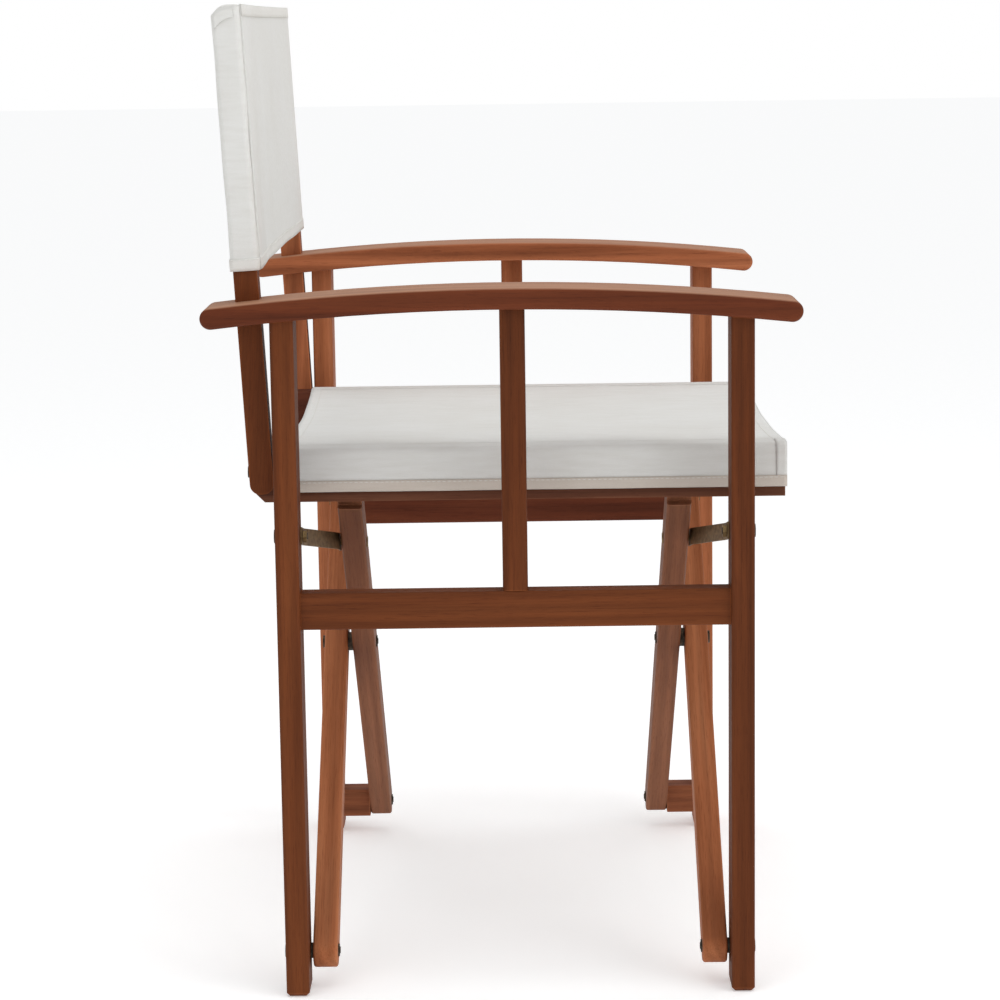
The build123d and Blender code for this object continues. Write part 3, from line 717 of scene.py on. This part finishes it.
def sleeve(side, name):
    loop = ring(side)
    n_loop = len(loop)

    def pt(u, v):
        p, n = loop[int(round(u * n_loop)) % n_loop]
        s = S_BOT + (S_CAP - 0.0012 - S_BOT) * v
        s -= corner(p.y) * v ** 6
        flare = 0.00022 * math.sin(s * 44 + p.y * 90 + side) + 0.00013 * math.sin(s * 97 + p.x * 120)
        c = back_point(p.x, p.y, s)
        nn = (Vector((n.x, 0, 0)) + BACK * n.y).normalized()
        return c + nn * flare, nn
    tube = slab(f"back_{name}_sleeve", pt, n_loop, 66, T, M_BACK, closed_u=True)
    # hem round the sleeve's mouth
    wide = ring(side, 0.0009)

    def mouth(u, v):
        p, n = wide[int(round(u * n_loop)) % n_loop]
        s = S_BOT - 0.0002 + 0.0105 * v
        flare = 0.00022 * math.sin(s * 44 + p.y * 90 + side) + 0.00013 * math.sin(s * 97 + p.x * 120)
        nn = (Vector((n.x, 0, 0)) + BACK * n.y).normalized()
        return back_point(p.x, p.y, s) + nn * (flare + 0.00025 * math.sin(math.pi * v)), nn
    m_ = slab(f"back_{name}_sleeve_hem", mouth, n_loop, 4, 0.0011, M_HEM_BACK, closed_u=True)
    line = []
    for k in range(n_loop + 1):
        p, n = wide[k % n_loop]
        s = S_BOT + 0.0092
        flare = 0.00022 * math.sin(s * 44 + p.y * 90 + side) + 0.00013 * math.sin(s * 97 + p.x * 120)
        nn = (Vector((n.x, 0, 0)) + BACK * n.y).normalized()
        line.append(back_point(p.x, p.y, s) + nn * (flare + 0.0006))
    centre = back_point(side * (POST_IN + POST_OUT) / 2, 0, S_BOT + 0.0092)

    def away(p):
        d = p - centre
        d -= UP * d.dot(UP)
        return d.normalized()
    st = stitches(f"back_{name}_sleeve_stitches", line, away)
    return tube, m_, st


sleeves = {nm: sleeve(side, nm) for side, nm in ((-1, "right"), (1, "left"))}


def cap(side, name):
    """The sleeve's closed top: the cloth folded in over the post, tucked at the rear."""
    loop = ring(side, -0.0002)
    n = len(loop)
    verts, faces = [], []
    cx = side * (POST_IN + POST_OUT) / 2
    levels = ((1.0, 0.0, -0.004), (1.0, 0.0, 0.0), (0.985, 0.0, 0.0011), (0.93, 0, 0.0018), (0.7, 0, 0.0023), (0.35, 0, 0.0021))
    for f, _, dz in levels:
        for p, _n in loop:
            bump_ = 0.0004 * math.sin(p.x * 300 + p.y * 240) * (1 - f)
            verts.append(back_point(cx + (p.x - cx) * f, p.y * f, S_CAP - 0.0022 + dz + bump_ - corner(p.y * f)))
    for i in range(len(levels) - 1):
        for k in range(n):
            a, b = i * n + k, i * n + (k + 1) % n
            faces.append((a, b, b + n, a + n))
    verts.append(back_point(cx, 0, S_CAP - 0.0001))
    top = len(verts) - 1
    base = (len(levels) - 1) * n
    for k in range(n):
        faces.append((base + k, base + (k + 1) % n, top))
    ob = mesh_object(f"back_{name}_sleeve_top", verts, faces, M_BACK)
    md = ob.modifiers.new("thickness", "SOLIDIFY")
    md.thickness = 0.0009
    md.offset = -1
    # the folded tuck: a small flap lying against the sleeve's outer rear corner
    def flap(u, v):
        y = HY - 0.0015 - 0.017 * u
        s = S_CAP - 0.0035 - corner(y) - 0.011 * v * (1 - 0.35 * u)
        x = side * (BX1 + 0.00115 + 0.0006 * math.sin(math.pi * u) * v)
        return back_point(x, y, s), Vector((side, 0, 0))
    fl = slab(f"back_{name}_tuck", flap, 12, 8, 0.0011, M_BACK)
    return ob, fl


caps = {nm: cap(side, nm) for side, nm in ((-1, "right"), (1, "left"))}

# ---- everything rides on its body ---------------------------------------------------------
for ob in (seat, hem_front, hem_rear, st_front, st_rear):
    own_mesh(ob)
    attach(ob, "right_rail")
for ob in (back, hem_top, hem_low, st_top, st_low):
    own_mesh(ob)
    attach(ob, "right_frame")
for nm in ("right", "left"):
    for ob in wraps[nm]:
        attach(ob, f"{nm}_rail")
    for ob in sleeves[nm] + caps[nm]:
        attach(ob, f"{nm}_frame")

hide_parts("seat_canvas")
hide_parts("back_canvas")
for nm in ("right", "left"):
    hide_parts(f"seat_canvas_{nm}_wrap")
    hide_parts(f"back_canvas_{nm}_sleeve")

# ---- floor, light and camera ---------------------------------------------------------------
fm, fnt, fb = new_mat("stage_floor")
tcf = fnt.nodes.new("ShaderNodeTexCoord")
fn = noise(fnt, tcf.outputs["Object"], 60.0, 3.0, 0.5)
fr = ramp(fnt, [(0.3, (0.90, 0.90, 0.90, 1)), (0.7, (0.93, 0.93, 0.93, 1))])
fnt.links.new(fn.outputs["Fac"], fr.inputs["Fac"])
fnt.links.new(fr.outputs["Color"], fb.inputs["Base Color"])
fb.inputs["Roughness"].default_value = 0.9
fb.inputs["Emission Color"].default_value = (1, 1, 1, 1)
fb.inputs["Emission Strength"].default_value = 0.33
fb.inputs["Specular IOR Level"].default_value = 0.0
verts, faces = [], []
for a, b in ((-30, -30), (30, -30), (30, 30), (-30, 30)):
    verts.append(Vector((a, b, -0.0005)))
floor = mesh_object("stage_floor_plane", verts, [(0, 1, 2, 3)], fm, smooth=False)

world = bpy.data.worlds.new("studio")
bpy.context.scene.world = world
world.use_nodes = True
wnt = world.node_tree
bg = wnt.nodes.get("Background") or wnt.nodes.new("ShaderNodeBackground")
bg.inputs["Color"].default_value = (0.98, 0.99, 1.0, 1.0)
bg.inputs["Strength"].default_value = 0.58
seen = wnt.nodes.new("ShaderNodeBackground")
seen.inputs["Color"].default_value = (1.0, 1.0, 1.0, 1.0)
seen.inputs["Strength"].default_value = 1.0
ray = wnt.nodes.new("ShaderNodeLightPath")
both = wnt.nodes.new("ShaderNodeMixShader")
wnt.links.new(ray.outputs["Is Camera Ray"], both.inputs[0])
wnt.links.new(bg.outputs[0], both.inputs[1])
wnt.links.new(seen.outputs[0], both.inputs[2])
wout = next(n for n in wnt.nodes if n.type == "OUTPUT_WORLD")
wnt.links.new(both.outputs[0], wout.inputs["Surface"])


def area_light(name, loc, target, size, power, color=(1, 1, 1)):
    ld = bpy.data.lights.new(name, "AREA")
    ld.shape = "RECTANGLE"
    ld.size, ld.size_y = size
    ld.energy = power
    ld.color = color
    ob = bpy.data.objects.new(name, ld)
    bpy.context.scene.collection.objects.link(ob)
    ob.location = loc
    ob.rotation_euler = (Vector(target) - Vector(loc)).to_track_quat("-Z", "Y").to_euler()


area_light("key", (-1.5, -2.4, 2.0), (0, 0, 0.6), (2.0, 2.0), 21)
area_light("fill", (-2.2, 1.9, 1.5), (0, 0, 0.5), (1.6, 1.6), 4)
area_light("top", (-0.12, 0.0, 2.3), (0.06, 0, 0.4), (1.5, 2.2), 10)
sun_data = bpy.data.lights.new("sky", "SUN")
sun_data.energy = 0.35
sun_data.angle = math.radians(70)
sun = bpy.data.objects.new("sky", sun_data)
bpy.context.scene.collection.objects.link(sun)
sun.rotation_euler = (math.radians(4), math.radians(-6), 0)

cam_data = bpy.data.cameras.new("camera")
cam = bpy.data.objects.new("camera", cam_data)
bpy.context.scene.collection.objects.link(cam)
p, ps, ro = 0.1611, -0.0058, -0.0141
fw = Vector((math.cos(p) * math.cos(ps), -math.cos(p) * math.sin(ps), -math.sin(p)))
right0 = fw.cross(Vector((0, 0, 1))).normalized()
up0 = right0.cross(fw)
right = right0 * math.cos(ro) + up0 * math.sin(ro)
up = -right0 * math.sin(ro) + up0 * math.cos(ro)
mt = Matrix((right, up, -fw)).transposed().to_4x4()
mt.translation = Vector((-2.77704, -0.01105, 0.84953))
cam.matrix_world = mt
cam_data.sensor_width = 36.0
cam_data.lens = 104.76
cam_data.clip_start = 0.05
cam_data.clip_end = 100.0
bpy.context.scene.camera = cam
bpy.context.scene.view_settings.view_transform = "Standard"
